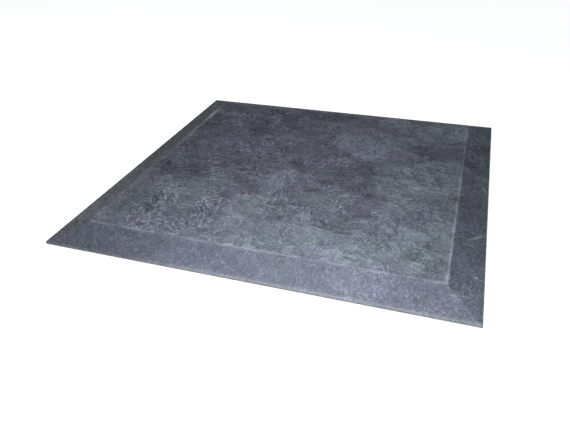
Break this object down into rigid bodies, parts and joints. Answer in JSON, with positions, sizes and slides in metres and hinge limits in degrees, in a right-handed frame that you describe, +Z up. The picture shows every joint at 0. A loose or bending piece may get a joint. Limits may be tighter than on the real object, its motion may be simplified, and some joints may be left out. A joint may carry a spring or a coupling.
{
  "type": "stone work slab",
  "caption": "Thin square stone work slab with wide mitred bevels round a flat field, on thin round non-slip pads.",
  "frame": {"origin": "on the bench under the middle of the slab, at the bottom of the pads", "axes": "+Z up, out of the work face; +X to the right of the person working; +Y away from them. The slab is square, so its four sides are alike."},
  "size_m": [0.305, 0.305, 0.0112],
  "materials": {
    "stone": "dark blue-grey fine-grained stone, honed matt, cloudy, with pale bruised arrises",
    "pad_rubber": "matt black rubber with a fine moulded grain",
    "adhesive": "dull, slightly yellow acrylic film"
  },
  "bodies": {
    "root": {"granite_slab": "stone", "foot_front_left": "pad_rubber", "foot_front_right": "pad_rubber", "foot_back_left": "pad_rubber", "foot_back_right": "pad_rubber", "foot_centre": "pad_rubber", "adhesive_front_left": "adhesive", "adhesive_front_right": "adhesive", "adhesive_back_left": "adhesive", "adhesive_back_right": "adhesive", "adhesive_centre": "adhesive"}
  },
  "joints": []
}
